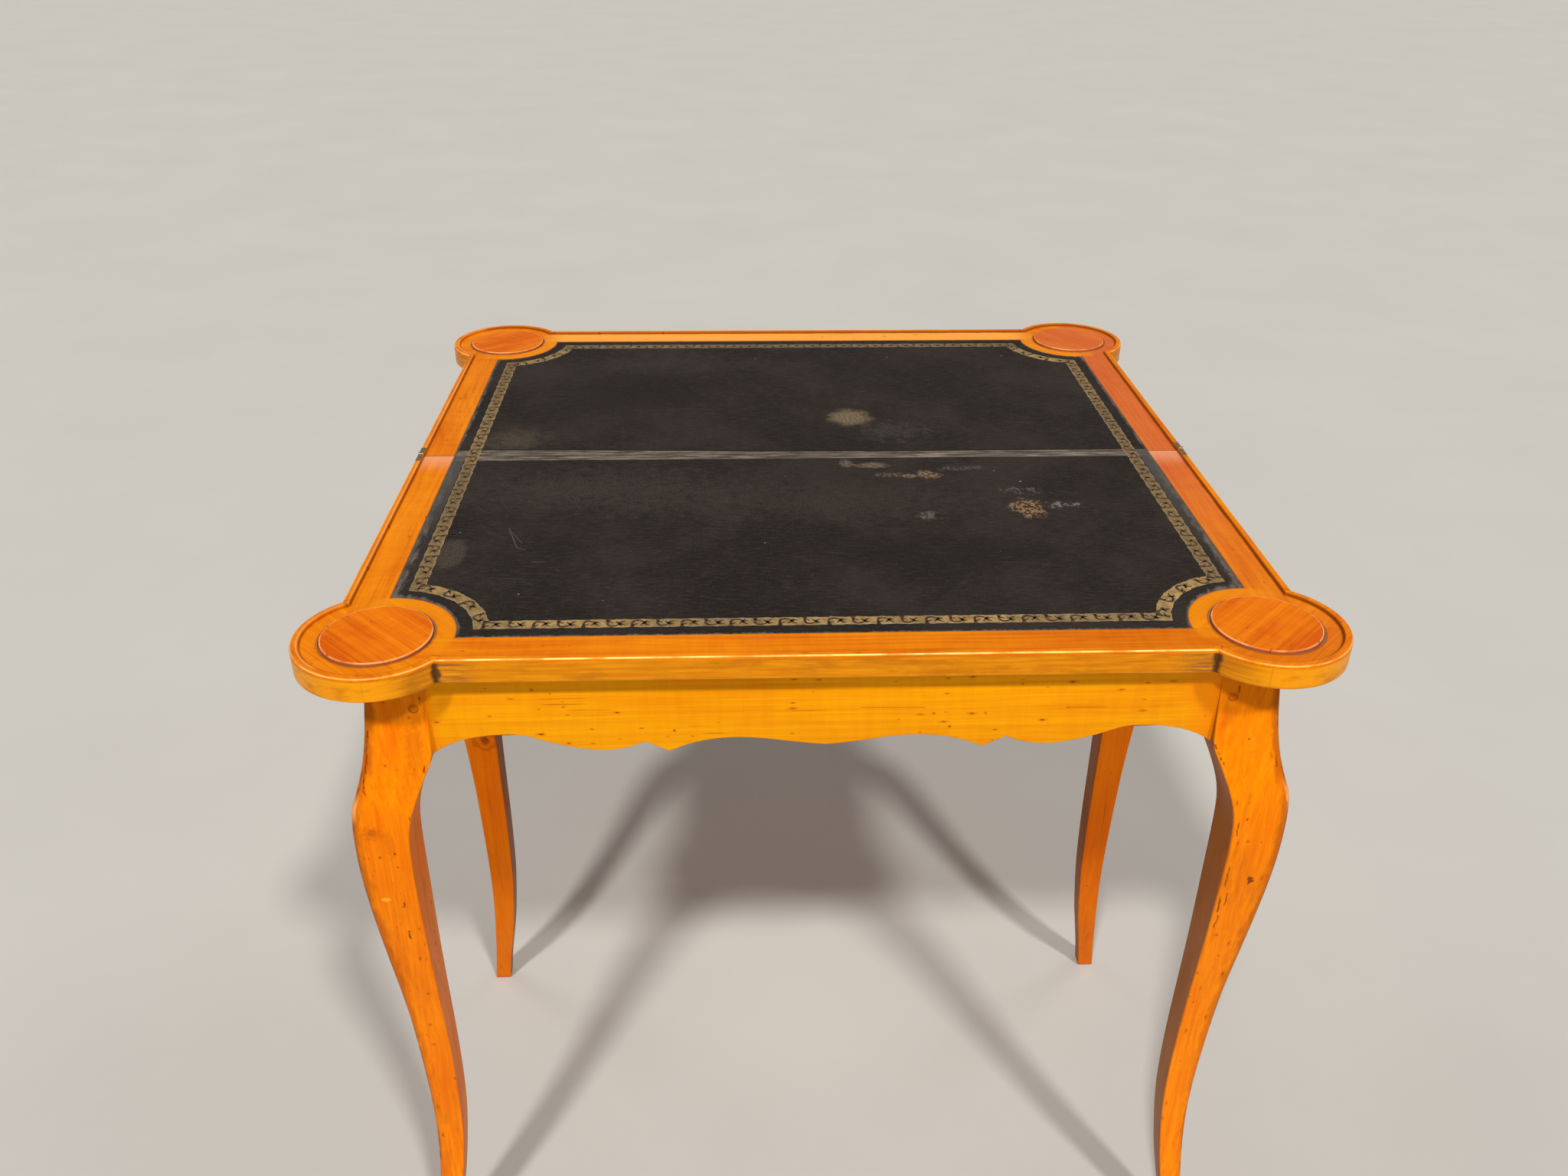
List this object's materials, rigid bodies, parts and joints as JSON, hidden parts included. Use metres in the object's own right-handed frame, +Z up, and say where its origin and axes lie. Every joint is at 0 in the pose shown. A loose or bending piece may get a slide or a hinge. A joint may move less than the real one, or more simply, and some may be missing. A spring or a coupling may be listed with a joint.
{
  "type": "games table",
  "caption": "Square fold-over games table with round candle lobes at its corners, a leather playing field and a swivelling top on a scalloped frame with cabriole legs.",
  "frame": {"origin": "on the floor, under the middle of the fold line of the opened top, which is the middle of the whole table's outline", "axes": "+X to the right along the fold line, +Y away from the front apron towards the rear leaf, +Z up; the table stands with its rear leaf unfolded flat and its top not swivelled"},
  "size_m": [0.8626, 0.8626, 0.737],
  "materials": {
    "leg_wood": "waxed",
    "apron_wood": "waxed",
    "peg_wood": "waxed",
    "board_wood": "bare",
    "lipping_wood": "waxed",
    "band_wood": "waxed",
    "ring_wood": "waxed",
    "disc_wood": "waxed",
    "inner_wood": "bare",
    "leather": "worn, dull gold border",
    "brass": "tarnished",
    "steel": "dull",
    "felt": "felt"
  },
  "bodies": {
    "frame": {"apron_front": "apron_wood", "apron_left": "apron_wood", "apron_rear": "apron_wood", "apron_right": "apron_wood", "corner_blocks": "inner_wood", "felt_pads": "felt", "frame_battens": "inner_wood", "leg_front_left": "leg_wood", "leg_front_right": "leg_wood", "leg_rear_left": "leg_wood", "leg_rear_right": "leg_wood", "pivot_board": "inner_wood", "pivot_board_screws": "steel", "pivot_bush": "brass", "tenon_pegs": "peg_wood", "well_divider": "inner_wood", "well_floor": "inner_wood"},
    "front_leaf": {"front_core": "board_wood", "front_hinge_screws": "brass", "front_hinge_strips": "brass", "front_leather": "leather", "front_left_candle_disc": "disc_wood", "front_left_lobe_lipping": "lipping_wood", "front_left_lobe_ring": "ring_wood", "front_left_side_band": "band_wood", "front_left_side_lipping": "lipping_wood", "front_long_band": "band_wood", "front_long_lipping": "lipping_wood", "front_right_candle_disc": "disc_wood", "front_right_lobe_lipping": "lipping_wood", "front_right_lobe_ring": "ring_wood", "front_right_side_band": "band_wood", "front_right_side_lipping": "lipping_wood", "hinge_pins": "brass", "pivot_nut": "steel", "pivot_plate": "steel", "pivot_plate_screws": "steel", "pivot_stud": "steel", "pivot_washer": "steel", "stop_peg": "peg_wood"},
    "rear_leaf": {"rear_core": "board_wood", "rear_hinge_screws": "brass", "rear_hinge_strips": "brass", "rear_leather": "leather", "rear_left_candle_disc": "disc_wood", "rear_left_lobe_lipping": "lipping_wood", "rear_left_lobe_ring": "ring_wood", "rear_left_side_band": "band_wood", "rear_left_side_lipping": "lipping_wood", "rear_long_band": "band_wood", "rear_long_lipping": "lipping_wood", "rear_right_candle_disc": "disc_wood", "rear_right_lobe_lipping": "lipping_wood", "rear_right_lobe_ring": "ring_wood", "rear_right_side_band": "band_wood", "rear_right_side_lipping": "lipping_wood"}
  },
  "joints": [
    {"name": "top_swivel", "type": "hinge", "parent": "frame", "child": "front_leaf", "pos_m": [0.10125, -0.10125, 0.712], "axis": [0, 0, 1], "range_deg": [0, 90]},
    {"name": "leaf_fold", "type": "hinge", "parent": "front_leaf", "child": "rear_leaf", "pos_m": [0, 0, 0.73515], "axis": [1, 0, 0], "range_deg": [0, 180]}
  ]
}
